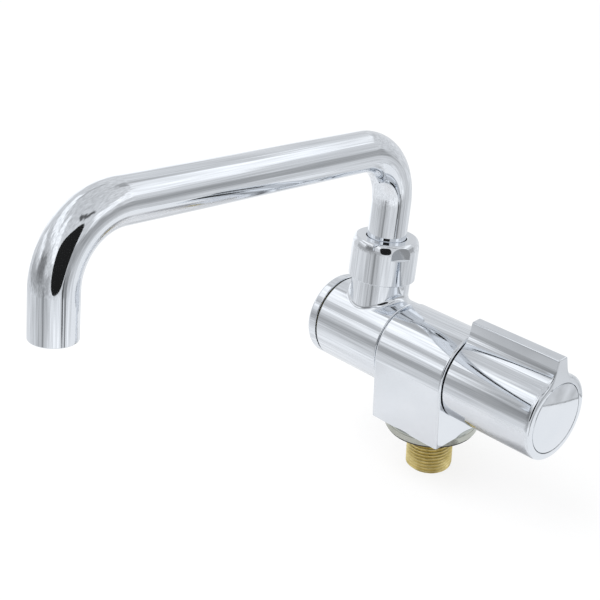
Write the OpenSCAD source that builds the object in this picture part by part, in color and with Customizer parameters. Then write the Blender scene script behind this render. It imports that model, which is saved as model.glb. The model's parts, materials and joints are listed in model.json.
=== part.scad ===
// Folding caravan tap: a chrome block on a threaded shank, a sleeve that folds
// round the barrel axis and carries a swivelling spout, and a quarter-turn knob.
// The origin is on the shank's axis at the deck. +X runs along the barrel to the
// knob, -Y is the side that the spout reaches over, and +Z is up.

/* [Pose] */
// Lean of the folding sleeve from upright, towards the back when negative
fold_lean = -7; // [-20:0.5:20]
// Swing of the spout from square to the barrel
spout_swing = 4.4; // [-30:0.1:30]

/* [Body] */
// Length of the block along the barrel
body_len = 30.2; // [29:0.1:36]
// Distance of the block's folding end from the shank's axis
body_back = 14.5; // [14:0.1:17]
// Radius of the block's round top, and half its width
body_r = 15.9; // [15:0.1:18]
// Height of the barrel axis above the deck
axis_h = 26.1; // [25:0.1:32]
// Rounding of the block's upright and end edges
body_edge = 0.9; // [0.3:0.1:2]

/* [Base and inlet] */
// Radius of the round base flange
flange_r = 16.7; // [16:0.1:20]
// Thickness of the base flange
flange_t = 2.7; // [2:0.1:4]
// Rounding of the base flange's upper edge
flange_edge = 0.5; // [0.2:0.1:1]
// Thickness of the deck gasket
gasket_t = 0.8; // [0.5:0.1:2]
// How far the gasket's rim stands back from the flange's rim
gasket_inset = 0.5; // [0.2:0.1:2]
// Outer radius of the inlet thread
nipple_r = 8.33; // [7.5:0.01:9]
// Length of the shank below the deck
nipple_len = 16.5; // [10:0.5:40]
// Radius of the shank's upper end, screwed into the block
nipple_top_r = 7.9; // [7:0.1:8]
// Length of the shank that is screwed into the block
nipple_insert = 8; // [5:0.5:8.5]
// Radius of the shank's water way
nipple_bore_r = 5.5; // [3.5:0.1:6]
// Bevel at the shank's lower end
nipple_bevel = 0.4; // [0.3:0.1:1.5]
// Radius of the water way between shank and valve chamber
inlet_bore_r = 4.5; // [3:0.1:5]
// Thickness of the ring seal on top of the shank
nipple_seal_t = 1.5; // [1:0.1:2]

/* [Fold joint] */
// Outer radius of the sleeve
sleeve_r = 15.5; // [15:0.1:18]
// Length of the sleeve
sleeve_len = 29.4; // [28:0.2:36]
// Bevel at the sleeve's outer edges
sleeve_bevel = 0.4; // [0.2:0.1:0.8]
// Radius of the spindle that the sleeve turns on
journal_r = 11; // [10.5:0.1:11.5]
// Radius of the spindle's screwed end in the block
spindle_tail_r = 7; // [6:0.1:8]
// Radius of the water way inside the spindle
water_r = 4.2; // [3:0.1:4.5]
// Width of the water groove round the spindle
gallery_w = 9; // [6:0.5:10]
// Depth of the water groove
gallery_d = 2.5; // [1:0.1:3]
// Radius of the cross ports in the water groove
port_r = 2.4; // [1.5:0.1:2.8]
// Thickness of the ring seals on the spindle
fold_seal_d = 2; // [1.5:0.1:2.4]
// Distance of each ring seal from the neck's axis
fold_seal_off = 8; // [7.5:0.1:8.6]
// Radius of the two slide washers
washer_r = 13.5; // [12.5:0.1:14]
// Thickness of the two slide washers
washer_t = 1.5; // [1:0.1:2]
// Depth of the counterbore in the sleeve's outer end
counterbore_d = 1.8; // [1.5:0.1:2.5]
// Radius of the spindle screw's head
spindle_head_r = 12.5; // [12:0.1:13]
// Thickness of the spindle screw's head
spindle_head_t = 1.5; // [1.2:0.1:2]
// Radius of the spindle screw's shank
spindle_shank_r = 6; // [5.5:0.1:7]
// Length of the spindle screw's shank
spindle_shank_len = 6; // [5:0.5:7]
// Width across the flats of the spindle screw's key socket
key_af = 8; // [6:0.5:8]
// Depth of the key socket
key_d = 4; // [3:0.5:5]
// Thickness of the end cap
end_cap_t = 4.1; // [3.5:0.1:6]
// Gap between the sleeve and the end cap
end_cap_gap = 0.7; // [0.3:0.1:1]
// Rounding of the end cap's outer edge
end_cap_edge = 1.4; // [0.5:0.1:2]
// Length of the stub that holds the end cap in the key socket
end_cap_stub = 2.5; // [1.5:0.1:3]

/* [Neck and union nut] */
// Radius of the neck below the union nut
neck_r = 10.5; // [10:0.1:11.2]
// Outer radius of the neck's thread
neck_thread_r = 9.6; // [9.4:0.1:9.8]
// Radius of the fillet where the neck leaves the sleeve
neck_fillet = 2; // [1:0.1:2.5]
// Radius of the neck's bore
neck_bore_r = 8; // [7.8:0.1:8.2]
// Radius of the union nut
nut_r = 12; // [11.8:0.1:14]
// Height of the union nut
nut_h = 15; // [13:0.5:18]
// Height of the nut's underside above the barrel axis
nut_base = 21.6; // [20:0.1:24]
// Thickness of the nut's top wall
nut_top_t = 2.5; // [2:0.1:3.5]
// Rounding of the nut's top edge
nut_edge = 1.5; // [0.5:0.1:2.5]
// Depth of the two spanner flats
nut_flat_d = 0.6; // [0.4:0.1:1.2]
// Height of the spanner flats
nut_flat_h = 9.8; // [6:0.1:11]
// Turn of the spanner flats from square to the barrel
nut_turn = -19; // [-90:0.5:90]

/* [Spout] */
// Outer radius of the spout tube
tube_r = 7; // [6.5:0.1:7.2]
// Wall of the spout tube
tube_wall = 1; // [0.8:0.1:1.5]
// Radius of both bends along the tube's middle
bend_r = 21; // [16:0.5:26]
// Height of the level run's middle above the barrel axis
spout_h = 70; // [66:1:110]
// Reach of the outlet from the neck's axis
spout_reach = 144; // [90:1:220]
// Drop of the outlet below the level run's middle
outlet_drop = 35; // [30:1:60]
// Height of the spout tail's lower end above the barrel axis
tail_base = 16; // [14.5:0.1:16.5]
// Length of the solid part of the tail, below the tube's socket
tail_solid = 7.5; // [7:0.1:8.5]
// Radius of the water way in the tail
tail_bore_r = 5; // [3:0.1:5.4]
// Thickness of the ring seals on the tail
spout_seal_d = 1.6; // [1.2:0.1:1.8]
// Radius of the tail's collar under the nut
collar_r = 9.2; // [9:0.1:9.3]
// Thickness of the collar
collar_t = 3; // [2:0.1:4]
// Thickness of the slide ring on the collar
slide_ring_t = 1; // [0.6:0.1:1.5]

/* [Valve] */
// Radius of the valve chamber in the block
chamber_r = 9.5; // [9.2:0.1:10]
// Depth of the valve seat below the block's knob side
seat_depth = 24.2; // [23.7:0.1:24.7]
// Thickness of the wall that carries the seat
seat_wall = 1.5; // [1:0.1:2]
// Length of the headwork's thread in the block
headwork_thread = 8; // [6:0.5:9]
// Outer radius of the headwork's skirt
skirt_r = 8; // [7.8:0.1:8.4]
// Wall of the headwork's skirt
skirt_wall = 1; // [0.8:0.1:1.2]
// Radius of the water windows in the skirt
window_r = 2.3; // [1.5:0.1:2.4]
// Land before and behind the water windows
window_land = 0.8; // [0.5:0.1:1.1]
// Width across the flats of the headwork's spanner flange
headwork_af = 21; // [20.5:0.5:21.5]
// Thickness of the spanner flange
headwork_flange_t = 3; // [2.5:0.1:4]
// Radius of the headwork's upper barrel
headwork_top_r = 8; // [6.5:0.1:9]
// Length of the headwork's upper barrel
headwork_top_len = 7.5; // [6:0.5:8]
// Thickness of the ring seal under the spanner flange
headwork_seal_d = 1.8; // [1.4:0.1:2]
// Thickness of the seat seal
seat_seal_t = 2; // [1.5:0.1:2.2]
// Thickness of each ceramic disc
disc_t = 2.5; // [2:0.1:2.6]
// Angle of each of the two openings in a ceramic disc
disc_open = 76; // [50:1:84]
// Radius of the solid middle of a ceramic disc
disc_core_r = 2.2; // [1.8:0.1:2.5]
// Radius of the valve stem
stem_r = 4; // [3.6:0.1:4.4]
// Thickness of the stem's thrust shoulder
stem_shoulder_t = 1.2; // [0.8:0.1:1.5]
// Width of the drive bar at the stem's foot
drive_w = 3; // [2:0.1:3.5]
// Length of the drive bar
drive_len = 11.6; // [10:0.1:12]
// Depth of the drive bar in the moving disc
drive_d = 1.2; // [0.8:0.1:1.5]
// Height of the drive bar above the moving disc
drive_t = 2.2; // [1.5:0.1:2.5]
// Thickness of the ring seal on the stem
stem_seal_d = 1; // [0.8:0.1:1.2]
// Thickness of the stem clip
clip_t = 0.8; // [0.6:0.1:1]
// Outer radius of the stem clip
clip_r = 5.5; // [5:0.1:6]

/* [Knob] */
// Outer radius of the knob
knob_r = 15.1; // [14.6:0.1:17]
// Length of the knob
knob_len = 34.8; // [33:0.1:44]
// Gap between the block and the knob
knob_gap = 0.7; // [0.5:0.1:1.2]
// Wall of the knob
knob_wall = 2.2; // [1.5:0.1:2.4]
// Thickness of the knob's end wall
knob_end_wall = 3; // [2:0.1:4]
// Rounding of the knob's outer rim
knob_rim = 2.1; // [1:0.1:2.4]
// Height of the lever fin above the knob
fin_h = 7; // [6:0.1:10]
// Thickness of the lever fin at its top
fin_t = 4.2; // [3:0.1:5]
// Slope of the fin's sides from upright
fin_draft = 12; // [0:1:15]
// Rounding of the fin's top edges
fin_edge = 0.8; // [0.2:0.1:1]
// Radius of the hollow where the fin rises from the knob
fin_fillet = 8; // [4:0.1:9]
// Radius of the hollow at the fin's end face
fin_end_fillet = 10; // [8:0.5:12]
// Radius of the recess for the knob's end disc
disc_recess_r = 12.4; // [11:0.1:12.6]
// Thickness of the end disc at its rim
knob_disc_t = 1.8; // [1.2:0.1:2.5]
// Crown of the end disc
knob_disc_crown = 0.5; // [0.2:0.1:1]
// Groove round the end disc
disc_groove = 0.2; // [0.1:0.05:0.4]
// Radius of the boss inside the knob
boss_r = 7; // [6:0.1:8]
// Length of the stem inside the boss
stem_engage = 10; // [8:0.5:11]
// Distance of the flat on the stem's end from its axis
stem_flat = 3.1; // [2.4:0.1:3.4]
// Wall between the stem's end and the screw's head
screw_wall = 3.5; // [2:0.1:4]
// Radius of the knob screw's shank
screw_r = 2; // [1.5:0.1:2.4]
// Length of the knob screw's shank
screw_len = 11; // [8:0.5:14]
// Radius of the knob screw's head
screw_head_r = 3.6; // [3.2:0.1:4.2]
// Height of the knob screw's head
screw_head_h = 2.4; // [2:0.1:2.6]

/* [Clearances] */
// Clearance between a shaft and the bore that it turns in
run_clear = 0.05; // [0.02:0.01:0.08]
// Clearance between pieces that are screwed or pressed together
fit_clear = 0.05; // [0.02:0.01:0.08]
// Clearance between flat faces that slide on each other
slide_clear = 0.05; // [0.02:0.01:0.08]
// Gap between pieces that pass each other
face_gap = 0.3; // [0.2:0.05:0.5]
// Gap between a ring seal and the bore round it
seal_gap = 0.1; // [0.05:0.01:0.15]
// Side room of a ring seal in its groove
groove_room = 0.2; // [0.1:0.05:0.3]

/* [Hidden] */
$fn = 96;
// A cut reaches this far past the face that it opens, and a joined bar this far into its neighbour
cut = 1;
// A surface that is only touched is entered by this much
sink = 0.03;
small_fn = 64;
fillet_steps = 64;
fillet_arc_steps = 5;

// Places along the barrel, from the shank's axis
body_x0 = -body_back;
body_x1 = body_x0 + body_len;
sleeve_x1 = body_x0 - face_gap;
sleeve_x0 = sleeve_x1 - sleeve_len;
neck_x = (sleeve_x0 + sleeve_x1) / 2;
spindle_x0 = sleeve_x0 + counterbore_d - slide_clear - washer_t;
end_cap_x1 = sleeve_x0 - end_cap_gap;
end_cap_x0 = end_cap_x1 - end_cap_t;
end_cap_floor = spindle_x0 - spindle_head_t;

// Places of the valve along the barrel
seat_x = body_x1 - seat_depth;
socket_x = seat_x - seat_wall;
fixed_disc_x = seat_x + seat_seal_t;
moving_disc_x = fixed_disc_x + disc_t + slide_clear;
drive_x = moving_disc_x + disc_t - drive_d;
skirt_x = seat_x + face_gap;
window_x = moving_disc_x + disc_t + window_land + window_r;
cavity_x1 = window_x + window_r + window_land;
thread_x = body_x1 - headwork_thread;
headwork_x1 = body_x1 + headwork_flange_t + headwork_top_len;
skirt_bore_r = skirt_r - skirt_wall;
chamber_thread_r = chamber_r - fit_clear;

// Places of the knob along the barrel
knob_x0 = body_x1 + knob_gap;
knob_x1 = knob_x0 + knob_len;
clip_x = headwork_x1 + face_gap;
boss_x = clip_x + clip_t + knob_gap;
stem_x1 = boss_x + stem_engage;
screw_x = stem_x1 + screw_wall;
recess_x = knob_x1 - knob_disc_t;
cavity_end_x = recess_x - knob_end_wall;
cavity_r = knob_r - knob_wall;

// Heights above the deck
block_z = gasket_t + flange_t;
nipple_z1 = block_z + nipple_insert;
socket_z = nipple_z1 + nipple_seal_t;

// Heights above the barrel axis, along the neck
nut_top = nut_base + nut_h;
nut_shoulder = nut_top - nut_top_t;
collar_z = nut_shoulder - slide_ring_t - slide_clear - collar_t;
neck_top = collar_z - slide_clear;
tube_z = tail_base + tail_solid;
tail_r = neck_bore_r - run_clear;
tube_bore_r = tube_r - tube_wall;

// Frames

// Turns local +Z onto the barrel axis, with the shank's axis at zero
module on_barrel() {
    translate([0, 0, axis_h]) rotate([0, 90, 0]) children();
}

// Stands local +Z on the neck's axis, with zero on the barrel axis
module on_neck() {
    translate([neck_x, 0, axis_h]) rotate([fold_lean, 0, 0]) children();
}

// The neck's frame turned with the spout, which reaches to local -Y
module on_spout() {
    on_neck() rotate([0, 0, spout_swing]) children();
}

// Shared shapes

// A bar from z0 to z1
module bar(r, z0, z1) {
    translate([0, 0, z0]) cylinder(r = r, h = z1 - z0);
}

// A ring from z0 to z1
module ring(r_out, r_in, z0, z1) {
    difference() {
        bar(r_out, z0, z1);
        bar(r_in, z0 - cut, z1 + cut);
    }
}

// Half section of a turned bar whose upper edge is rounded
module rounded_bar_section(r, z0, z1, edge) {
    translate([0, z0]) square([r, z1 - z0 - edge]);
    translate([0, z0]) square([r - edge, z1 - z0]);
    translate([r - edge, z1 - edge]) circle(r = edge, $fn = small_fn);
}

// A turned bar whose upper edge is rounded
module rounded_bar(r, z0, z1, edge) {
    rotate_extrude() intersection() {
        rounded_bar_section(r, z0, z1, edge);
        translate([0, z0]) square([r, z1 - z0]);
    }
}

// A turned bar with the same bevel at both ends
module bevelled_bar(r, z0, z1, bevel) {
    rotate_extrude()
        polygon([[0, z0], [r - bevel, z0], [r, z0 + bevel], [r, z1 - bevel], [r - bevel, z1], [0, z1]]);
}

// A round section ring seal whose outer side touches the given radius
module ring_seal(r_out, d, z) {
    translate([0, 0, z])
        rotate_extrude() translate([r_out - d / 2, 0]) circle(d = d, $fn = small_fn);
}

// The groove that a ring seal lies in
module seal_groove(r_out, d, z) {
    ring(r_out + cut, r_out - d - fit_clear, z - d / 2 - groove_room, z + d / 2 + groove_room);
}

// A rectangle with round corners, centred
module round_rectangle(size, edge) {
    square([size.x - 2 * edge, size.y], center = true);
    square([size.x, size.y - 2 * edge], center = true);
    for (sx = [-1, 1], sy = [-1, 1])
        translate([sx * (size.x / 2 - edge), sy * (size.y / 2 - edge)]) circle(r = edge, $fn = small_fn);
}

// Body and base

// The block: a prism with upright sides below the barrel axis, half a round bar above it
module block_outside() {
    translate([(body_x0 + body_x1) / 2, 0, 0]) {
        translate([0, 0, block_z])
            linear_extrude(axis_h - block_z) round_rectangle([body_len, 2 * body_r], body_edge);
        on_barrel() rotate([0, 0, 90]) rotate_extrude(angle = 180) intersection() {
            round_rectangle([2 * body_r, body_len], body_edge);
            translate([0, -body_len / 2]) square([body_r, body_len]);
        }
    }
}

module body_casting() {
    color("#d5d9de") difference() {
        block_outside();
        on_barrel() {
            bar(chamber_r, seat_x, body_x1 + cut);
            bar(water_r, socket_x - cut, seat_x + cut);
            bar(spindle_tail_r + fit_clear, body_x0 - cut, socket_x);
        }
        bar(inlet_bore_r, socket_z - cut, axis_h);
        bar(nipple_top_r + fit_clear, block_z - cut, socket_z);
    }
}

module base_flange() {
    color("#c3c4bd") difference() {
        rounded_bar(flange_r, gasket_t, block_z, flange_edge);
        bar(nipple_top_r + fit_clear, 0, block_z + cut);
    }
}

module deck_gasket() {
    color("#2b2b2b") ring(flange_r - gasket_inset, nipple_r + face_gap, 0, gasket_t);
}

module inlet_nipple() {
    color("#b8923e") difference() {
        rotate_extrude() polygon([
            [0, -nipple_len],
            [nipple_r - nipple_bevel, -nipple_len],
            [nipple_r, nipple_bevel - nipple_len],
            [nipple_r, 0],
            [nipple_top_r, 0],
            [nipple_top_r, nipple_z1],
            [0, nipple_z1]
        ]);
        bar(nipple_bore_r, -nipple_len - cut, nipple_z1 + cut);
    }
}

module nipple_seal() {
    color("#2b2b2b") ring(nipple_top_r, nipple_bore_r, nipple_z1, socket_z);
}

// Fold joint

// Outer radius of the ring seals on the spindle
function fold_seal_r() = journal_r + run_clear - seal_gap;

module fold_spindle() {
    color("#b8923e") on_barrel() difference() {
        union() {
            bar(journal_r, spindle_x0, body_x0);
            bar(spindle_tail_r, body_x0 - cut, socket_x);
        }
        bar(water_r, neck_x - port_r - cut, socket_x + cut);
        bar(spindle_shank_r + fit_clear, spindle_x0 - cut, spindle_x0 + spindle_shank_len + fit_clear);
        ring(journal_r + cut, journal_r - gallery_d, neck_x - gallery_w / 2, neck_x + gallery_w / 2);
        for (side = [-1, 1])
            seal_groove(fold_seal_r(), fold_seal_d, neck_x + side * fold_seal_off);
        for (turn = [0 : 90 : 270])
            translate([0, 0, neck_x]) rotate([90, 0, turn]) bar(port_r, 0, journal_r);
    }
}

module fold_seals() {
    color("#2b2b2b") on_barrel()
        for (side = [-1, 1])
            ring_seal(fold_seal_r(), fold_seal_d, neck_x + side * fold_seal_off);
}

module inner_washer() {
    color("#e8e6dc") on_barrel()
        ring(washer_r, journal_r + fit_clear, body_x0 - washer_t, body_x0);
}

module outer_washer() {
    color("#e8e6dc") on_barrel()
        ring(washer_r, journal_r + fit_clear, spindle_x0, spindle_x0 + washer_t);
}

module spindle_screw() {
    color("#b8923e") on_barrel() difference() {
        union() {
            bar(spindle_head_r, end_cap_floor, spindle_x0);
            bar(spindle_shank_r, spindle_x0 - cut, spindle_x0 + spindle_shank_len);
        }
        translate([0, 0, end_cap_floor - cut]) cylinder(d = key_af / cos(30), h = key_d + cut, $fn = 6);
    }
}

module end_cap() {
    color("#d5d9de") on_barrel() {
        difference() {
            mirror([0, 0, 1]) rounded_bar(sleeve_r, -end_cap_x1, -end_cap_x0, end_cap_edge);
            bar(spindle_head_r + fit_clear, end_cap_floor, end_cap_x1 + cut);
        }
        bar(key_af / 2 - fit_clear, end_cap_floor - cut, end_cap_floor + end_cap_stub);
    }
}

// Sleeve bores: the journal and a counterbore for each slide washer
module sleeve_bores() {
    half = sleeve_len / 2;
    inner_floor = washer_t + slide_clear - face_gap;
    bar(journal_r + run_clear, -half - cut, half + cut);
    bar(washer_r + face_gap, half - inner_floor, half + cut);
    bar(washer_r + face_gap, -half - cut, counterbore_d - half);
}

// Centre of a ball that rolls round the neck at angle a and touches neck and sleeve
function ball_centre(a) =
    let (r = neck_r + neck_fillet, y = r * sin(a))
    [r * cos(a), y, sqrt(pow(sleeve_r + neck_fillet, 2) - y * y)];

// Direction from the ball's centre, turning from the neck at t = 0 to the sleeve at t = 1
function ball_direction(a, t) =
    let (
        c = ball_centre(a),
        to_neck = [-cos(a), -sin(a), 0],
        to_sleeve = -[0, c.y, c.z] / (sleeve_r + neck_fillet),
        turn = acos(to_neck * to_sleeve)
    )
    (sin((1 - t) * turn) * to_neck + sin(t * turn) * to_sleeve) / sin(turn);

// Points of the fillet's section at angle a: the ball's arc, then a corner inside the walls
function fillet_section(a) =
    let (
        c = ball_centre(a),
        last = fillet_arc_steps,
        inside = neck_r - neck_fillet / 3
    )
    concat(
        [for (k = [0 : last])
            c + (neck_fillet + (k == 0 || k == last ? sink : 0)) * ball_direction(a, k / last)],
        [[inside * cos(a), inside * sin(a), c.z * sleeve_r / (sleeve_r + neck_fillet) - neck_fillet / 3]]
    );

// The fillet between neck and sleeve, as a ball rolls it
module neck_fillet_ring() {
    count = fillet_arc_steps + 2;
    points = [for (i = [0 : fillet_steps - 1]) each fillet_section(360 * i / fillet_steps)];
    faces = [
        for (i = [0 : fillet_steps - 1], k = [0 : count - 1])
            let (
                here = i * count,
                next = (i + 1) % fillet_steps * count,
                up = (k + 1) % count
            )
            each [[here + k, next + k, here + up], [here + up, next + k, next + up]]
    ];
    polyhedron(points, faces);
}

module fold_sleeve() {
    color("#d5d9de") on_neck() difference() {
        union() {
            rotate([0, 90, 0])
                bevelled_bar(sleeve_r, -sleeve_len / 2, sleeve_len / 2, sleeve_bevel);
            neck_fillet_ring();
            bar(neck_r, 0, nut_base);
            bar(neck_thread_r, 0, neck_top);
        }
        rotate([0, 90, 0]) sleeve_bores();
        bar(neck_bore_r, 0, neck_top + cut);
    }
}

// Union nut and spout

// The two spanner flats, square to the nut's own X axis
module spanner_flats() {
    for (side = [0, 180])
        rotate([0, 0, side])
            translate([nut_r - nut_flat_d, -nut_r, nut_base - cut])
                cube([nut_flat_d + cut, 2 * nut_r, nut_flat_h + cut]);
}

module union_nut() {
    color("#d5d9de") on_neck() rotate([0, 0, nut_turn]) difference() {
        rounded_bar(nut_r, nut_base, nut_top, nut_edge);
        bar(neck_thread_r + fit_clear, nut_base - cut, nut_shoulder);
        bar(tube_r + face_gap, nut_base, nut_top + cut);
        spanner_flats();
    }
}

module slide_ring() {
    color("#e8e6dc") on_neck()
        ring(neck_thread_r, tube_r + face_gap, nut_shoulder - slide_ring_t, nut_shoulder);
}

// A quarter bend in the YZ plane round the local origin, from +Y towards +Z
module quarter_bend(r_out, r_in) {
    rotate([90, 0, 90]) rotate_extrude(angle = 90) translate([bend_r, 0]) difference() {
        circle(r = r_out);
        circle(r = r_in);
    }
}

module spout_tube() {
    bend_z = spout_h - bend_r;
    color("#d5d9de") on_spout() {
        ring(tube_r, tube_bore_r, tube_z, bend_z);
        translate([0, -bend_r, bend_z]) quarter_bend(tube_r, tube_bore_r);
        translate([0, 0, spout_h]) rotate([90, 0, 0])
            ring(tube_r, tube_bore_r, bend_r, spout_reach - bend_r);
        translate([0, bend_r - spout_reach, bend_z]) rotate([90, 0, 0]) quarter_bend(tube_r, tube_bore_r);
        translate([0, -spout_reach, 0])
            ring(tube_r, tube_bore_r, spout_h - outlet_drop, bend_z);
    }
}

// Outer radius of the ring seals on the tail
function spout_seal_r() = neck_bore_r - seal_gap;

// Heights of the two ring seals on the tail
function spout_seal_z() = [for (third = [1, 2]) tail_base + tail_solid * third / 3];

module spout_tail() {
    color("#b8923e") on_spout() difference() {
        union() {
            bar(tail_r, tail_base, collar_z + cut);
            bar(collar_r, collar_z, collar_z + collar_t);
        }
        bar(tail_bore_r, tail_base - cut, tube_z + cut);
        bar(tube_r + fit_clear, tube_z, collar_z + collar_t + cut);
        for (z = spout_seal_z())
            seal_groove(spout_seal_r(), spout_seal_d, z);
    }
}

module spout_seals() {
    color("#2b2b2b") on_spout()
        for (z = spout_seal_z())
            ring_seal(spout_seal_r(), spout_seal_d, z);
}

// Valve

// Outer radius of the ring seal under the headwork's flange
function headwork_seal_r() = chamber_r - seal_gap;

// Place of the ring seal under the headwork's flange
function headwork_seal_x() = body_x1 - headwork_seal_d / 2 - groove_room;

// Outer radius of the stem's ring seal
function stem_seal_r() = stem_r + run_clear - seal_gap;

// Place of the stem's ring seal, in the headwork's upper barrel
function stem_seal_x() = headwork_x1 - headwork_top_len / 2;

module headwork() {
    color("#b8923e") on_barrel() difference() {
        union() {
            bar(skirt_r, skirt_x, thread_x + cut);
            bar(chamber_thread_r, thread_x, body_x1 + cut);
            translate([0, 0, body_x1])
                cylinder(d = headwork_af / cos(30), h = headwork_flange_t, $fn = 6);
            bar(headwork_top_r, body_x1 + cut, headwork_x1);
        }
        bar(skirt_bore_r, skirt_x - cut, cavity_x1);
        bar(stem_r + run_clear, skirt_x, headwork_x1 + cut);
        for (turn = [0, 90])
            translate([0, 0, window_x]) rotate([90, 0, turn]) bar(window_r, -chamber_r, chamber_r);
        seal_groove(headwork_seal_r(), headwork_seal_d, headwork_seal_x());
    }
}

module headwork_seal() {
    color("#2b2b2b") on_barrel() ring_seal(headwork_seal_r(), headwork_seal_d, headwork_seal_x());
}

module seat_seal() {
    color("#2b2b2b") on_barrel()
        ring(skirt_bore_r - fit_clear, water_r, seat_x, fixed_disc_x);
}

// Two opposite openings of a ceramic disc, the first one centred on the local X axis
module disc_openings(x0) {
    for (side = [0, 180])
        rotate([0, 0, side - disc_open / 2]) translate([0, 0, x0 - cut])
            rotate_extrude(angle = disc_open)
                translate([disc_core_r, 0]) square([water_r - disc_core_r, disc_t + 2 * cut]);
}

module fixed_disc() {
    color("#f1efe9") on_barrel() difference() {
        bar(skirt_bore_r - fit_clear, fixed_disc_x, fixed_disc_x + disc_t);
        disc_openings(fixed_disc_x);
    }
}

// The drive bar and its slot, upright when the valve is shut
module drive_bar(play) {
    length = drive_len + 2 * play;
    width = drive_w + 2 * play;
    translate([-length / 2, -width / 2, drive_x]) cube([length, width, drive_d + drive_t]);
}

module moving_disc() {
    color("#f1efe9") on_barrel() difference() {
        bar(skirt_bore_r - face_gap, moving_disc_x, moving_disc_x + disc_t);
        rotate([0, 0, 90]) disc_openings(moving_disc_x);
        drive_bar(fit_clear);
    }
}

// The flat on the stem's end; play widens it for the knob's socket
module stem_end_flat(play) {
    translate([stem_flat + play, -stem_r - cut, boss_x - cut])
        cube([stem_r, 2 * (stem_r + cut), stem_engage + 2 * cut]);
}

module valve_stem() {
    shoulder_x = cavity_x1 - face_gap;
    color("#b8923e") on_barrel() difference() {
        union() {
            drive_bar(0);
            bar(stem_r, drive_x + drive_d, stem_x1);
            bar(stem_r + stem_shoulder_t, shoulder_x - stem_shoulder_t, shoulder_x);
        }
        stem_end_flat(0);
        seal_groove(stem_seal_r(), stem_seal_d, stem_seal_x());
        ring(stem_r + cut, clip_bore_r(), clip_x - fit_clear, clip_x + clip_t + fit_clear);
        bar(screw_r + fit_clear, screw_x - screw_len - cut, stem_x1 + cut);
    }
}

module stem_seal() {
    color("#2b2b2b") on_barrel() ring_seal(stem_seal_r(), stem_seal_d, stem_seal_x());
}

// Radius of the groove that the stem clip sits in
function clip_bore_r() = stem_r - clip_t;

module stem_clip() {
    color("#8d9196") on_barrel() difference() {
        ring(clip_r, clip_bore_r() + fit_clear, clip_x, clip_x + clip_t);
        translate([-clip_r - cut, -clip_bore_r() / 2, clip_x - cut])
            cube([clip_r + cut, clip_bore_r(), clip_t + 2 * cut]);
    }
}

// Knob

// Height of the fin's top above the barrel axis
function fin_top() = knob_r + fin_h;

// Direction in which the fin's right side faces, in its section with up along +Y
function fin_out() = [cos(fin_draft), sin(fin_draft)];

// Distance of the line of the fin's side from the barrel axis
function fin_reach() = fin_out() * [fin_t / 2, fin_top()];

// Centre of a hollow of radius r that leaves a side at the given reach and meets a round of radius rim
function hollow_centre(r, rim, reach) =
    let (out = fin_out(), rise = sqrt(pow(rim + r, 2) - pow(reach + r, 2)))
    (reach + r) * out + rise * [-out.y, out.x];

// Points of the right side, followed by their mirror images on the left
function both_sides(points) =
    concat(points, [for (i = [1 : len(points)]) let (p = points[len(points) - i]) [-p.x, p.y]]);

module fin_circles(centre, r) {
    for (side = [-1, 1])
        translate([side * centre.x, centre.y]) circle(r = r);
}

// The fin's plate, with the hollow of its end face on each side
module fin_plate() {
    out = fin_out();
    r = fin_end_fillet;
    rim = knob_r - knob_rim;
    hollow = hollow_centre(r, rim, fin_reach());
    edge_y = fin_top() - fin_edge;
    edge = [(fin_reach() - fin_edge - edge_y * out.y) / out.x, edge_y];
    difference() {
        polygon(concat([[0, 0]], both_sides([
            hollow * rim / (rim + r), hollow - r * out, edge + fin_edge * out, edge, [edge.x, fin_top()]
        ])));
        fin_circles(hollow, r);
    }
    fin_circles(edge, fin_edge, $fn = small_fn);
}

// The hollow along the knob on each side of the plate
module fin_skirt() {
    hollow = hollow_centre(fin_fillet, knob_r, fin_reach() - sink);
    difference() {
        polygon(concat([[0, 0]], both_sides([
            hollow * knob_r / (knob_r + fin_fillet), hollow - fin_fillet * fin_out()
        ])));
        fin_circles(hollow, fin_fillet);
    }
}

// Draws a section of the fin out along the knob
module along_knob() {
    translate([0, 0, knob_x0]) rotate([0, 0, 90]) linear_extrude(knob_len) children();
}

// The knob's round with the fin; the fin's skirt fades out at the rounded rim
module knob_outside() {
    rounded_bar(knob_r, knob_x0, knob_x1, knob_rim);
    along_knob() fin_plate();
    intersection() {
        along_knob() fin_skirt();
        rounded_bar(knob_r + fin_fillet, knob_x0 - cut, knob_x1, knob_rim + fin_fillet);
    }
}

module knob() {
    color("#d5d9de") on_barrel() difference() {
        knob_outside();
        ring(cavity_r, boss_r, knob_x0 - cut, cavity_end_x);
        bar(cavity_r, knob_x0 - cut, boss_x);
        difference() {
            bar(stem_r + fit_clear, boss_x - cut, stem_x1);
            stem_end_flat(fit_clear);
        }
        bar(screw_r + face_gap, stem_x1 - cut, screw_x + cut);
        bar(screw_head_r + face_gap, screw_x, recess_x + cut);
        bar(disc_recess_r, recess_x, knob_x1 + cut);
    }
}

// The end disc, crowned like a slice of a large ball
module knob_disc() {
    disc_r = disc_recess_r - disc_groove;
    ball_r = (pow(disc_r, 2) + pow(knob_disc_crown, 2)) / (2 * knob_disc_crown);
    color("#d5d9de") on_barrel() rotate_extrude() intersection() {
        translate([0, recess_x]) square([disc_r, knob_disc_t + knob_disc_crown]);
        translate([0, knob_x1 + knob_disc_crown - ball_r]) circle(r = ball_r, $fn = 360);
    }
}

module knob_screw() {
    color("#a9adb1") on_barrel() difference() {
        union() {
            bar(screw_r, screw_x - screw_len, screw_x + cut);
            rounded_bar(screw_head_r, screw_x, screw_x + screw_head_h, screw_head_h / 3);
        }
        for (turn = [0, 90])
            rotate([0, 0, turn])
                translate([-screw_r, -screw_r / 5, screw_x + screw_head_h / 3])
                    cube([2 * screw_r, screw_r * 2 / 5, screw_head_h]);
    }
}

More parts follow.
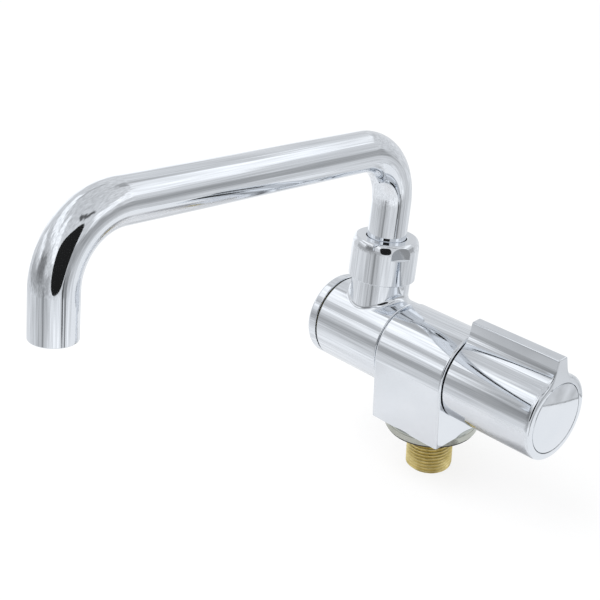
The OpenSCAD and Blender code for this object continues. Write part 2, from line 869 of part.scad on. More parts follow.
body_casting();
base_flange();
deck_gasket();
inlet_nipple();
nipple_seal();
fold_spindle();
fold_seals();
inner_washer();
outer_washer();
spindle_screw();
end_cap();
fold_sleeve();
union_nut();
slide_ring();
spout_tube();
spout_tail();
spout_seals();
headwork();
headwork_seal();
seat_seal();
fixed_disc();
moving_disc();
valve_stem();
stem_seal();
stem_clip();
knob();
knob_disc();
knob_screw();
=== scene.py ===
"""Looks of the folding caravan tap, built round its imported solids. Lengths are in metres."""
import json
import math
from typing import NamedTuple

import bpy
from mathutils import Matrix, Vector


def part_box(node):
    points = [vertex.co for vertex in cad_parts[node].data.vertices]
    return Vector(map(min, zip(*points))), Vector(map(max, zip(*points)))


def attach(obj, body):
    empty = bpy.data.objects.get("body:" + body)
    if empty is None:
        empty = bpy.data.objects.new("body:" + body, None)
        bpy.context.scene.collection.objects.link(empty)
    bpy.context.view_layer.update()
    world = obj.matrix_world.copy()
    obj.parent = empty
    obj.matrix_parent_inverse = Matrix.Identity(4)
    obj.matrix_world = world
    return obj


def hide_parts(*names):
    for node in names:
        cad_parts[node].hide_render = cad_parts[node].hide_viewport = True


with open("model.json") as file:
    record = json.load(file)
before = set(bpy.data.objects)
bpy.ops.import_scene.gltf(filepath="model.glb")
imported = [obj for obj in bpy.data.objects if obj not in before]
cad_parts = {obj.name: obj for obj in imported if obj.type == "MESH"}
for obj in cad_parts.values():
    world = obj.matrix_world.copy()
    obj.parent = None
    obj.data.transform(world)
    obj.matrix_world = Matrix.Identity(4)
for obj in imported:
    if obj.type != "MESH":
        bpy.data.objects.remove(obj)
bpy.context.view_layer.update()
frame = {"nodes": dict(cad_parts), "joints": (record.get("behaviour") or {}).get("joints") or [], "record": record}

MM = 0.001
NODES = frame["nodes"]
JOINTS = {joint["name"]: joint for joint in frame["joints"]}

# Places taken from the frame
fold_point = Vector(JOINTS["spout_fold"]["pos_m"])
neck_axis = Vector(JOINTS["spout_swivel"]["axis"]).normalized()
axis_height = fold_point.z

# Directions
barrel_dir = Vector((1, 0, 0))
UP = Vector((0, 0, 1))

# Turn of the spout from square to the barrel, and of the nut's flats, in degrees
spout_swing = 4.4
nut_turn = -19


def along(direction, across, origin):
    """Matrix of a frame whose Z runs along direction and whose X lies along across."""
    side = direction.cross(across)
    turn = Matrix((across, side, direction)).transposed().to_4x4()
    return Matrix.Translation(origin) @ turn


on_barrel = along(barrel_dir, -UP, UP * axis_height)
on_neck = along(neck_axis, barrel_dir, fold_point)
on_spout = on_neck @ Matrix.Rotation(math.radians(spout_swing), 4, "Z")


def mix(a, b, share):
    """The value at a share of the way from a to b."""
    return a + (b - a) * share


def signed_power(value, power):
    """A power of the value's size, with the value's sign."""
    return math.copysign(abs(value) ** power, value)


# Outlines

ARC_STEP = math.radians(9)

# Edge rounds that several pieces share
sharp_edge = 0.1 * MM
fine_edge = 0.15 * MM
small_edge = 0.2 * MM
plain_edge = 0.3 * MM
wide_edge = 0.4 * MM


def rounded(corners, closed=True):
    """Points (u, v, normal u, normal v) of an outline whose corners are (u, v, radius).

    The material lies to the left of the way that the corners go. A corner without a
    radius is only used as an end of an open outline.
    """
    points = []
    count = len(corners)
    for index, (u, v, radius) in enumerate(corners):
        here = Vector((u, v))
        before = Vector(corners[index - 1][:2])
        after = Vector(corners[(index + 1) % count][:2])
        if not closed and index in (0, count - 1):
            way = (after - here) if index == 0 else (here - before)
            way.normalize()
            points.append((u, v, way.y, -way.x))
            continue
        way_in = (here - before).normalized()
        way_out = (after - here).normalized()
        turn = math.atan2(way_in.x * way_out.y - way_in.y * way_out.x, way_in.dot(way_out))
        start = here - way_in * radius * math.tan(abs(turn) / 2)
        left = Vector((-way_in.y, way_in.x)) * math.copysign(1, turn)
        centre = start + left * radius
        steps = max(2, math.ceil(abs(turn) / ARC_STEP))
        for step in range(steps + 1):
            spin = Matrix.Rotation(turn * step / steps, 2)
            point = centre + spin @ (start - centre)
            way = spin @ way_in
            points.append((point.x, point.y, way.y, -way.x))
    return points


def subdivided(points, limit):
    """The same closed outline with extra points, so that no step along v is longer than limit."""
    result = []
    count = len(points)
    for index, point in enumerate(points):
        result.append(point)
        after = points[(index + 1) % count]
        parts = math.ceil(abs(after[1] - point[1]) / limit)
        for part in range(1, parts):
            share = part / parts
            result.append(tuple(mix(a, b, share) for a, b in zip(point, after)))
    return result


# Meshes

TURNS = 144
ANGLES = [2 * math.pi * column / TURNS for column in range(TURNS)]
SPOKES = [Vector((math.cos(angle), math.sin(angle), 0)) for angle in ANGLES]
tip_r = 1e-7


def skin(rows, loop_rows, loop_columns=True):
    """Faces between neighbouring rows of vertex numbers; a row of one vertex is a tip."""
    faces = []
    pairs = list(zip(rows, rows[1:]))
    if loop_rows:
        pairs.append((rows[-1], rows[0]))
    for low, high in pairs:
        width = max(len(low), len(high))
        steps = width if loop_columns else width - 1
        for column in range(steps):
            after = (column + 1) % width
            corners = [
                low[column % len(low)],
                low[after % len(low)],
                high[after % len(high)],
                high[column % len(high)],
            ]
            face = list(dict.fromkeys(corners))
            if len(face) > 2:
                faces.append(face)
    return faces


def new_mesh(name, points, faces, normals=None):
    """A smooth mesh object at the origin, with exact normals where they are given."""
    mesh = bpy.data.meshes.new(name)
    mesh.from_pydata(points, [], faces)
    mesh.validate()
    mesh.shade_smooth()
    if normals:
        mesh.normals_split_custom_set_from_vertices(normals)
    piece = bpy.data.objects.new(name, mesh)
    bpy.context.scene.collection.objects.link(piece)
    return piece


def dress(piece, material, body, slot, *nodes):
    """Gives a piece its material and its body, and hides the nodes that it stands for; its slot is not used."""
    piece.data.materials.append(MATERIALS[material])
    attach(piece, body)
    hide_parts(*nodes)


class Shell:
    """Points and their normals, gathered in a local frame."""

    def __init__(self):
        self.points = []
        self.normals = []

    def add(self, point, normal):
        """Takes in a point and gives its number."""
        self.points.append(Vector(point))
        self.normals.append(Vector(normal))
        return len(self.points) - 1

    def turn(self, spoke, axis, outline_point):
        """Takes in a point (radius, height, normal r, normal h) of an outline, on a spoke round an axis."""
        radius, height, normal_r, normal_h = outline_point
        return self.add(spoke * radius + axis * height, spoke * normal_r + axis * normal_h)

    def made(self, name, faces, matrix):
        """The object with these points and faces, put in its place."""
        turn = matrix.to_3x3()
        points = [matrix @ point for point in self.points]
        normals = [(turn @ normal).normalized() for normal in self.normals]
        return new_mesh(name, points, faces, normals)


def lathe(name, outline, matrix, closed=True):
    """Turns an outline of (radius, height) points round the Z axis of a frame."""
    shell = Shell()
    rows = []
    for point in outline:
        radius, height, normal_r, normal_z = point
        if radius < tip_r:
            rows.append([shell.add(UP * height, UP * normal_z)])
        else:
            rows.append([shell.turn(spoke, UP, point) for spoke in SPOKES])
    return shell.made(name, skin(rows, closed), matrix)


# Materials

# Part of a noise's range that holds most of its values
NOISE_LOW = 0.3
NOISE_HIGH = 0.7

# Heights of the bumps
hairline_height = 0.0000006
turning_height = 0.000006
drawing_height = 0.000004

# Half the range of a matt material's roughness
matt_spread = 0.06


def blank_material(name, metallic=1.0):
    """A material with only a Principled shader, and what is needed to add nodes to it."""
    material = bpy.data.materials.new(name)
    material.use_nodes = True
    tree = material.node_tree
    shader = tree.nodes["Principled BSDF"]
    shader.inputs["Metallic"].default_value = metallic
    place = tree.nodes.new("ShaderNodeTexCoord").outputs["Object"]
    return material, tree, shader, place


def noise(tree, place, scale, detail=2.0, stretch=(1, 1, 1)):
    """A noise of the given scale, drawn out along the axes by stretch."""
    mapping = tree.nodes.new("ShaderNodeMapping")
    mapping.inputs["Scale"].default_value = stretch
    texture = tree.nodes.new("ShaderNodeTexNoise")
    texture.inputs["Scale"].default_value = scale
    texture.inputs["Detail"].default_value = detail
    tree.links.new(place, mapping.inputs["Vector"])
    tree.links.new(mapping.outputs["Vector"], texture.inputs["Vector"])
    return texture.outputs["Fac"]


def feed(tree, value, socket):
    """Links an output to a socket, or sets the socket to a number."""
    if isinstance(value, bpy.types.NodeSocket):
        tree.links.new(value, socket)
    else:
        socket.default_value = value


def spread(tree, value, low, high, start=NOISE_LOW, end=NOISE_HIGH, kind="LINEAR"):
    """Maps a range of a value, which is the middle of a noise if none is given, onto another range."""
    node = tree.nodes.new("ShaderNodeMapRange")
    node.interpolation_type = kind
    node.inputs["From Min"].default_value = start
    node.inputs["From Max"].default_value = end
    feed(tree, low, node.inputs["To Min"])
    node.inputs["To Max"].default_value = high
    tree.links.new(value, node.inputs["Value"])
    return node.outputs["Result"]


def tint(tree, value, dark, light):
    """A colour between two colours, by a noise or a like value."""
    node = tree.nodes.new("ShaderNodeValToRGB")
    node.color_ramp.elements[0].position = NOISE_LOW
    node.color_ramp.elements[0].color = (*dark, 1)
    node.color_ramp.elements[1].position = NOISE_HIGH
    node.color_ramp.elements[1].color = (*light, 1)
    tree.links.new(value, node.inputs["Fac"])
    return node.outputs["Color"]


def relief(tree, shader, value, height, below=None):
    """A bump of the given height in metres, over another bump where there is one."""
    node = tree.nodes.new("ShaderNodeBump")
    node.inputs["Distance"].default_value = height
    tree.links.new(value, node.inputs["Height"])
    if below:
        tree.links.new(below, node.inputs["Normal"])
    tree.links.new(node.outputs["Normal"], shader.inputs["Normal"])
    return node.outputs["Normal"]


def coat(tree, shader, colour, rough):
    """Gives a shader its colour and its roughness."""
    tree.links.new(colour, shader.inputs["Base Color"])
    tree.links.new(rough, shader.inputs["Roughness"])


def chrome(name, dark, light, rough, wave):
    """Polished plating: faint waves from the buffing, fine hairlines and a thin haze."""
    material, tree, shader, place = blank_material(name)
    haze = noise(tree, place, scale=55, detail=3)
    hairlines = noise(tree, place, scale=420, stretch=(1, 1, 9))
    coat(tree, shader, tint(tree, haze, dark, light), spread(tree, hairlines, 0.7 * rough, 1.3 * rough))
    buffing = relief(tree, shader, noise(tree, place, scale=75, detail=1), wave)
    relief(tree, shader, hairlines, hairline_height, buffing)
    return material


def brass(name):
    """Machined brass with a little tarnish and fine turning lines."""
    material, tree, shader, place = blank_material(name)
    tarnish = noise(tree, place, scale=240, detail=4)
    lines = noise(tree, place, scale=900, stretch=(0.15, 0.15, 6))
    colour = tint(tree, tarnish, dark=(0.66, 0.53, 0.20), light=(0.94, 0.80, 0.40))
    coat(tree, shader, colour, spread(tree, tarnish, low=0.44, high=0.30))
    relief(tree, shader, lines, turning_height)
    return material


def matt(name, dark, light, rough, grain, height):
    """A plain moulded or pressed material with a fine grain."""
    material, tree, shader, place = blank_material(name, metallic=0.0)
    fleck = noise(tree, place, grain, detail=4)
    colour = tint(tree, fleck, dark, light)
    coat(tree, shader, colour, spread(tree, fleck, rough - matt_spread, rough + matt_spread))
    relief(tree, shader, fleck, height)
    return material


def steel(name):
    """Plain wire and screw steel with drawn lines."""
    material, tree, shader, place = blank_material(name)
    lines = noise(tree, place, scale=700, detail=3, stretch=(8, 1, 1))
    colour = tint(tree, lines, dark=(0.50, 0.51, 0.53), light=(0.64, 0.65, 0.67))
    coat(tree, shader, colour, spread(tree, lines, low=0.28, high=0.4))
    relief(tree, shader, lines, drawing_height)
    return material


MATERIALS = {
    "chrome": chrome("chrome_plating", (0.80, 0.83, 0.87), (0.84, 0.865, 0.90), 0.055, 0.000006),
    "dull_chrome": chrome("dull_plating", (0.43, 0.44, 0.39), (0.54, 0.55, 0.50), 0.10, 0.000012),
    "brass": brass("machined_brass"),
    "rubber": matt("black_rubber", (0.018, 0.018, 0.019), (0.04, 0.04, 0.041), 0.62, 1800, 0.00001),
    "slide_plastic": matt("slide_plastic", (0.80, 0.79, 0.73), (0.88, 0.87, 0.82), 0.45, 900, 0.000004),
    "ceramic": matt("lapped_ceramic", (0.86, 0.85, 0.81), (0.92, 0.91, 0.88), 0.22, 1500, 0.000002),
    "steel": steel("plain_steel"),
}


# Pieces

# Every solid of the frame gets the material of its slot
for part in frame["record"]["subparts"]:
    solid = NODES[part["node"]].data
    solid.materials.clear()
    solid.materials.append(MATERIALS[part["material_slot"]])


# The folding sleeve

sleeve_r = 15.5 * MM
sleeve_half = 14.7 * MM
sleeve_edge = 0.55 * MM
journal_r = 11.05 * MM
pocket_r = 13.8 * MM
inner_pocket = 1.25 * MM
outer_pocket = 1.8 * MM
neck_r = 10.5 * MM
neck_thread_r = 9.6 * MM
neck_bore_r = 8.0 * MM
neck_fillet = 2.0 * MM
neck_top = 30.0 * MM
neck_wall_start = sleeve_r + 1.2 * neck_fillet
neck_floor = journal_r + 0.5 * MM
nut_base = 21.6 * MM
saddle_angle = math.radians(60)
SADDLE_STEPS = 48
SADDLE_ROWS = 6
FILLET_ROWS = 12


def on_sleeve(x, angle):
    """Point on the sleeve's skin and its normal; the angle is measured from the neck."""
    normal = Vector((0, math.sin(angle), math.cos(angle)))
    return normal * sleeve_r + Vector((x, 0, 0)), normal


def saddle_rim():
    """Rim of the saddle as (x, angle, turn round the neck), counter-clockwise from above."""
    end = sleeve_half - sleeve_edge
    shares = [2 * step / SADDLE_STEPS - 1 for step in range(SADDLE_STEPS)]
    half = [(end, saddle_angle * share) for share in shares]
    half += [(-end * share, saddle_angle) for share in shares]
    loop = half + [(-x, -angle) for x, angle in half]
    return [(x, angle, math.atan2(sleeve_r * angle, x)) for x, angle in loop]


def ball_centre(turn):
    """Centre of the ball that rolls between the neck and the sleeve."""
    reach = neck_r + neck_fillet
    side = reach * math.sin(turn)
    height = math.sqrt((sleeve_r + neck_fillet) ** 2 - side ** 2)
    return Vector((reach * math.cos(turn), side, height))


def saddle_rows(shell):
    """Rows from the rim of the saddle to the oval where the fillet starts."""
    rows = [[] for row in range(SADDLE_ROWS + 1)]
    for x, angle, turn in saddle_rim():
        centre = ball_centre(turn)
        oval_angle = math.asin(centre.y / (sleeve_r + neck_fillet))
        for step, row in enumerate(rows):
            share = step / SADDLE_ROWS
            row.append(shell.add(*on_sleeve(mix(x, centre.x, share), mix(angle, oval_angle, share))))
    return rows


def fillet_rows(shell):
    """Rows of the fillet, from the sleeve up to the neck."""
    rows = [[] for row in range(FILLET_ROWS)]
    for _, _, turn in saddle_rim():
        centre = ball_centre(turn)
        to_sleeve = Vector((0, -centre.y, -centre.z)).normalized()
        to_neck = Vector((-math.cos(turn), -math.sin(turn), 0))
        for step, row in enumerate(rows):
            way = to_sleeve.slerp(to_neck, (step + 1) / FILLET_ROWS)
            row.append(shell.add(centre + way * neck_fillet, -way))
    return rows


def neck_rows(shell):
    """Rows of the neck: its wall, the thread under the nut and the bore."""
    outline = rounded([
        (neck_r, neck_wall_start, 0),
        (neck_r, nut_base, plain_edge),
        (neck_thread_r, nut_base, small_edge),
        (neck_thread_r, neck_top, wide_edge),
        (neck_bore_r, neck_top, wide_edge),
        (neck_bore_r, neck_floor, plain_edge),
        (0, neck_floor, 0),
    ], closed=False)
    spokes = [Vector((math.cos(turn), math.sin(turn), 0)) for _, _, turn in saddle_rim()]
    rows = [[shell.turn(spoke, UP, point) for spoke in spokes] for point in outline[:-1]]
    rows.append([shell.add(UP * outline[-1][1], UP)])
    return rows


def sleeve_ends():
    """Outline (radius, x) of the sleeve's ends, pockets and bore."""
    return rounded([
        (sleeve_r, sleeve_half - sleeve_edge, 0),
        (sleeve_r, sleeve_half, sleeve_edge),
        (pocket_r, sleeve_half, small_edge),
        (pocket_r, sleeve_half - inner_pocket, sharp_edge),
        (journal_r, sleeve_half - inner_pocket, small_edge),
        (journal_r, outer_pocket - sleeve_half, small_edge),
        (pocket_r, outer_pocket - sleeve_half, sharp_edge),
        (pocket_r, -sleeve_half, small_edge),
        (sleeve_r, -sleeve_half, sleeve_edge),
        (sleeve_r, sleeve_edge - sleeve_half, 0),
    ], closed=False)


def wrap_rows(shell, far, near):
    """Rows round the sleeve below its saddle, from the saddle's far side to its near side."""
    xs = [shell.points[number].x for number in far]
    around = 2 * SADDLE_STEPS
    rows = [far]
    for step in range(1, around):
        angle = mix(saddle_angle, 2 * math.pi - saddle_angle, step / around)
        rows.append([shell.add(*on_sleeve(x, angle)) for x in xs])
    return rows + [near]


def end_rows(shell, first, last):
    """Rows of the sleeve's ends, pockets and bore, from the rim of one end to that of the other."""
    spokes = [Vector((0, shell.points[n].y, shell.points[n].z)).normalized() for n in first]
    middle = [[shell.turn(spoke, barrel_dir, point) for spoke in spokes] for point in sleeve_ends()[1:-1]]
    return [first] + middle + [last]


def make_sleeve():
    """The sleeve: saddle, fillet and neck on top, then the round below them, then the ends and the bore."""
    shell = Shell()
    saddle = saddle_rows(shell)
    faces = skin(saddle + fillet_rows(shell) + neck_rows(shell), False)
    rim = saddle[0]
    count = SADDLE_STEPS
    right = rim[:count + 1]
    far = rim[count:2 * count + 1][::-1]
    left = rim[2 * count:3 * count + 1][::-1]
    near = rim[3 * count:] + rim[:1]
    wrap = wrap_rows(shell, far, near)
    faces += skin(wrap, False, loop_columns=False)
    first = right[::-1] + [row[-1] for row in wrap[-2:0:-1]]
    last = left[::-1] + [row[0] for row in wrap[-2:0:-1]]
    faces += skin(end_rows(shell, first, last), False)
    return shell.made("sleeve_skin", faces, on_neck)


# The union nut

nut_r = 12.0 * MM
nut_top = 36.6 * MM
nut_crown_w = 1.5 * MM
nut_crown_h = 3.8 * MM
nut_bore_r = 9.65 * MM
nut_shoulder = 34.1 * MM
nut_hole_r = 7.3 * MM
nut_foot = 0.3 * MM

# The spanner flats, cut into the upper end of the nut above a ledge
flat_depth = 0.6 * MM
flat_edge = 0.3 * MM
flat_brow = 0.06 * MM
ledge_height = nut_base + 9.8 * MM

# Depths from which a flat has its own normal, and its ledge its full slope
no_depth = 1e-9
flat_start = 0.02 * MM
ledge_start = 0.05 * MM

# A spoke with a smaller x is far from any flat
least_spoke = 0.5

# A column whose x is this near to that of a flat's edge lies on it
spoke_slack = 1e-6

FLAT_STEPS = 12
FLAT_SIDES = (0.975, 1.0, 1.025)
ROUND_STEPS = 32
LEDGE_STEPS = 4
NUT_CROWN_STEPS = 14
LEDGE_TURNS = [math.pi / 2 * step / LEDGE_STEPS for step in range(LEDGE_STEPS + 1)]


def nut_turns():
    """Angles of the nut's columns, closer together at the edges of its flats."""
    half = math.acos(1 - flat_depth / nut_r)
    quarter = [half * step / FLAT_STEPS for step in range(FLAT_STEPS)]
    quarter += [half * share for share in FLAT_SIDES]
    quarter += [mix(half, math.pi / 2, step / ROUND_STEPS) for step in range(1, ROUND_STEPS + 1)]
    half_turn = [-turn for turn in quarter[:0:-1]] + quarter[:-1]
    return half_turn + [turn + math.pi for turn in half_turn]


def flat_side(spoke, depth):
    """Normal in plan of the nut's wall, where a flat may be cut into it to some depth."""
    flat = Vector((math.copysign(1, spoke.x), 0, 0))
    at_edge = abs(abs(spoke.x) - 1 + flat_depth / nut_r) < spoke_slack
    if depth > flat_start:
        return flat
    if depth > no_depth or at_edge:
        return (flat + spoke).normalized()
    return spoke


def foot_points(spoke):
    """The round at the foot of the nut."""
    points = []
    for turn in LEDGE_TURNS:
        radius = nut_r - nut_foot * (1 - math.sin(turn))
        height = nut_base + nut_foot * (1 - math.cos(turn))
        points.append((radius, height, spoke, math.sin(turn), -math.cos(turn)))
    return points


def ledge_points(spoke, side, depth):
    """The ledge under a flat: its rounded edge, and the hollow between it and the flat."""
    edge = min(flat_edge, depth / 2)
    level = min(1, depth / ledge_start)
    points = []
    for turn in LEDGE_TURNS:
        lift = level * math.sin(turn)
        radius = nut_r - edge * (1 - math.cos(turn))
        height = ledge_height - edge * (1 - math.sin(turn))
        points.append((radius, height, spoke, math.sqrt(1 - lift ** 2), lift))
    for turn in LEDGE_TURNS:
        lift = level * math.cos(turn)
        radius = nut_r - depth + edge * (1 - math.sin(turn))
        height = ledge_height + edge * (1 - math.cos(turn))
        points.append((radius, height, side, math.sqrt(1 - lift ** 2), lift))
    return points


def crown_points(spoke, side, depth):
    """The upper end of a flat, and the crown over it, a quarter of an ellipse higher than wide."""
    brow = math.acos(1 - depth / nut_crown_w)
    height = nut_top - nut_crown_h * (1 - math.sin(brow)) - flat_brow
    points = [(nut_r - depth, height, side, 1, 0)]
    for step in range(NUT_CROWN_STEPS + 1):
        turn = mix(brow + flat_brow / nut_crown_h, math.pi / 2, step / NUT_CROWN_STEPS)
        radius = nut_r - nut_crown_w * (1 - math.cos(turn))
        height = nut_top - nut_crown_h * (1 - math.sin(turn))
        normal = Vector((math.cos(turn) / nut_crown_w, math.sin(turn) / nut_crown_h)).normalized()
        points.append((radius, height, spoke, normal.x, normal.y))
    return points


def nut_column(spoke):
    """One column of the nut's outside: (radius, height, normal in plan, share of it, upward share)."""
    depth = nut_r - min(nut_r, (nut_r - flat_depth) / max(abs(spoke.x), least_spoke))
    side = flat_side(spoke, depth)
    return foot_points(spoke) + ledge_points(spoke, side, depth) + crown_points(spoke, side, depth)


def make_nut():
    """The nut, column by column, with its bore and the shoulder in it."""
    inside = rounded([
        (nut_r - nut_crown_w, nut_top, 0),
        (nut_hole_r, nut_top, wide_edge),
        (nut_hole_r, nut_shoulder, small_edge),
        (nut_bore_r, nut_shoulder, small_edge),
        (nut_bore_r, nut_base, plain_edge),
        (nut_r - nut_foot, nut_base, 0),
    ], closed=False)[1:-1]
    shell = Shell()
    columns = []
    for turn in nut_turns():
        spoke = Vector((math.cos(turn), math.sin(turn), 0))
        outside = nut_column(spoke)
        column = [shell.add(spoke * r + UP * z, side * out + UP * lift) for r, z, side, out, lift in outside]
        column += [shell.turn(spoke, UP, point) for point in inside]
        columns.append(column)
    rows = [list(row) for row in zip(*columns)]
    matrix = on_neck @ Matrix.Rotation(math.radians(nut_turn), 4, "Z")
    return shell.made("nut_skin", skin(rows, True), matrix)


# The spout tube

tube_r = 7.0 * MM
tube_bore_r = 6.0 * MM
tube_foot = 23.5 * MM
bend_r = 21.0 * MM
spout_h = 70.0 * MM
spout_reach = 144.0 * MM
outlet_drop = 35.0 * MM
lip = 0.3 * MM
TUBE_STEP = 1.5 * MM
SPOUT_LEGS = (
    spout_h - bend_r - tube_foot,
    bend_r * math.pi / 2,
    spout_reach - 2 * bend_r,
    bend_r * math.pi / 2,
    outlet_drop - bend_r,
)


def spout_path(length):
    """Point and direction (y, z) on the spout's centre line at a length from its foot."""
    place, way = Vector((0, tube_foot)), Vector((0, 1))
    for leg, size in enumerate(SPOUT_LEGS):
        part = length if leg == len(SPOUT_LEGS) - 1 else min(length, size)
        if leg % 2 == 0:
            place = place + way * part
        else:
            spin = Matrix.Rotation(part / bend_r, 2)
            centre = place + Vector((-way.y, way.x)) * bend_r
            place = centre + spin @ (place - centre)
            way = spin @ way
        length -= part
        if length <= 0:
            break
    return place, way


def make_tube():
    """The tube: its wall's outline, with both lips, led along the spout's centre line."""
    total = sum(SPOUT_LEGS)
    outline = subdivided(rounded([
        (tube_r, 0, lip),
        (tube_r, total, lip),
        (tube_bore_r, total, lip),
        (tube_bore_r, 0, lip),
    ]), TUBE_STEP)
    shell = Shell()
    rows = []
    for radius, length, normal_r, normal_s in outline:
        place, way = spout_path(length)
        forward = Vector((0, way.x, way.y))
        inward = Vector((0, -way.y, way.x))
        centre = Vector((0, place.x, place.y))
        row = []
        for angle in ANGLES:
            spoke = inward * math.cos(angle) + barrel_dir * math.sin(angle)
            row.append(shell.add(centre + spoke * radius, spoke * normal_r + forward * normal_s))
        rows.append(row)
    return shell.made("tube_skin", skin(rows, True), on_spout)


# The threaded inlet

thread_pitch = 1.337 * MM
thread_r = 8.33 * MM
thread_depth = 0.7 * MM
thread_round = 0.184 * MM
thread_flank = math.radians(27.5)
inlet_end = -16.5 * MM
inlet_bevel = 0.4 * MM
inlet_mouth = 0.5 * MM
inlet_land = 0.5 * MM
inlet_top = 11.5 * MM
inlet_top_r = 7.9 * MM
inlet_bore_r = 5.5 * MM
THREAD_ROWS = 16


def thread_radius(height, turn):
    """Radius of the thread at a height and a turn, with its crests and roots rounded."""
    phase = (height / thread_pitch - turn) % 1
    offset = abs(phase - 0.5) * thread_pitch
    rim = thread_round * math.cos(thread_flank)
    half = thread_pitch / 2
    if offset < rim:
        return thread_r - thread_round + math.sqrt(thread_round ** 2 - offset ** 2)
    if half - offset < rim:
        hollow = thread_round - math.sqrt(thread_round ** 2 - (half - offset) ** 2)
        return thread_r - thread_depth + hollow
    share = (offset - rim) / (half - 2 * rim)
    drop = thread_round * (1 - math.sin(thread_flank))
    return thread_r - mix(drop, thread_depth - drop, share)


def ring_row(points, radii, height):
    """Adds a ring of points with the given radii at a height, and gives their numbers."""
    start = len(points)
    for angle, radius in zip(ANGLES, radii):
        points.append((radius * math.cos(angle), radius * math.sin(angle), height))
    return list(range(start, len(points)))


def make_inlet():
    """The inlet: the thread outside, cut off by the bevel at its end, and the bore inside."""
    count = round(-inlet_end / thread_pitch * THREAD_ROWS)
    points, rows = [], []
    for step in range(count + 1):
        height = mix(inlet_end, 0, step / count)
        limit = thread_r - inlet_bevel + (height - inlet_end)
        radii = [min(limit, thread_radius(height, column / TURNS)) for column in range(TURNS)]
        rows.append(ring_row(points, radii, height))
    inside = rounded([
        (inlet_top_r, 0, 0),
        (inlet_top_r, inlet_top, wide_edge),
        (inlet_bore_r, inlet_top, wide_edge),
        (inlet_bore_r, inlet_end, inlet_mouth),
        (thread_r - inlet_bevel - inlet_land, inlet_end, 0),
    ], closed=False)
    rows += [ring_row(points, [point[0]] * TURNS, point[1]) for point in inside]
    return new_mesh("inlet_skin", points, skin(rows, True))


# Turned pieces

cap_r = 15.5 * MM
cap_out = -49.0 * MM
cap_in = -44.9 * MM
cap_edge = 1.4 * MM
cap_lip = 0.35 * MM
cap_pocket_r = 12.55 * MM
cap_floor = -45.45 * MM
cap_stub_r = 3.95 * MM
cap_stub_end = -42.95 * MM


def make_cap():
    """The end cap, with the pocket and the stub on its inner side."""
    return lathe("cap_skin", rounded([
        (0, cap_out, 0),
        (cap_r, cap_out, cap_edge),
        (cap_r, cap_in, cap_lip),
        (cap_pocket_r, cap_in, fine_edge),
        (cap_pocket_r, cap_floor, fine_edge),
        (cap_stub_r, cap_floor, fine_edge),
        (cap_stub_r, cap_stub_end, fine_edge),
        (0, cap_stub_end, 0),
    ], closed=False), on_barrel, closed=False)


disc_r = 12.2 * MM
disc_back = 49.4 * MM
disc_rim = 51.2 * MM
disc_crown = 0.5 * MM
disc_edge = 0.3 * MM
DISC_EDGE_STEPS = 6
CROWN_STEPS = 12


def make_disc():
    """The knob's end disc, slightly crowned, with a small round at its rim."""
    ball_r = (disc_r ** 2 + disc_crown ** 2) / (2 * disc_crown)
    reach = disc_r - disc_edge
    slope = math.asin(reach / ball_r)
    outline = rounded([
        (0, disc_back, 0),
        (disc_r, disc_back, disc_edge),
        (disc_r, disc_rim - disc_edge, 0),
    ], closed=False)
    crown_centre = disc_rim + disc_crown - ball_r
    edge_centre = crown_centre + ball_r * math.cos(slope) - disc_edge * math.cos(slope)
    for step in range(1, DISC_EDGE_STEPS):
        angle = mix(0, math.pi / 2 - slope, step / DISC_EDGE_STEPS)
        outline.append((reach + disc_edge * math.cos(angle), edge_centre + disc_edge * math.sin(angle),
                        math.cos(angle), math.sin(angle)))
    for step in range(CROWN_STEPS, -1, -1):
        angle = slope * step / CROWN_STEPS
        outline.append((ball_r * math.sin(angle), crown_centre + ball_r * math.cos(angle),
                        math.sin(angle), math.cos(angle)))
    return lathe("disc_skin", outline, on_barrel, closed=False)


# The knob with its lever fin

knob_r = 15.1 * MM
knob_start = 16.2 * MM
knob_end = 51.2 * MM
knob_rim = 2.1 * MM
rim_power = 3.2
knob_lip = 0.15 * MM
fin_top = 22.1 * MM
fin_half = 2.1 * MM
fin_draft = math.radians(12)
fin_edge = 0.8 * MM
fin_rim = 0.45 * MM
fin_fillet = 8.0 * MM
knob_face_r = 12.6 * MM
recess_r = 12.4 * MM
screw_well_r = 3.9 * MM
screw_seat = 41.5 * MM
screw_hole_r = 2.3 * MM
socket_r = 4.05 * MM
socket_floor = 38.0 * MM
boss_r = 7.0 * MM
boss_start = 28.0 * MM
hollow_r = 12.9 * MM
hollow_floor = 46.4 * MM
knob_mouth_r = 13.3 * MM
FIN_TOP_STEPS = 3
KNOB_STEPS = 56
HOLLOW_STEPS = 18
EDGE_STEPS = 8
RIM_STEPS = 16
FACE_ROWS = 4


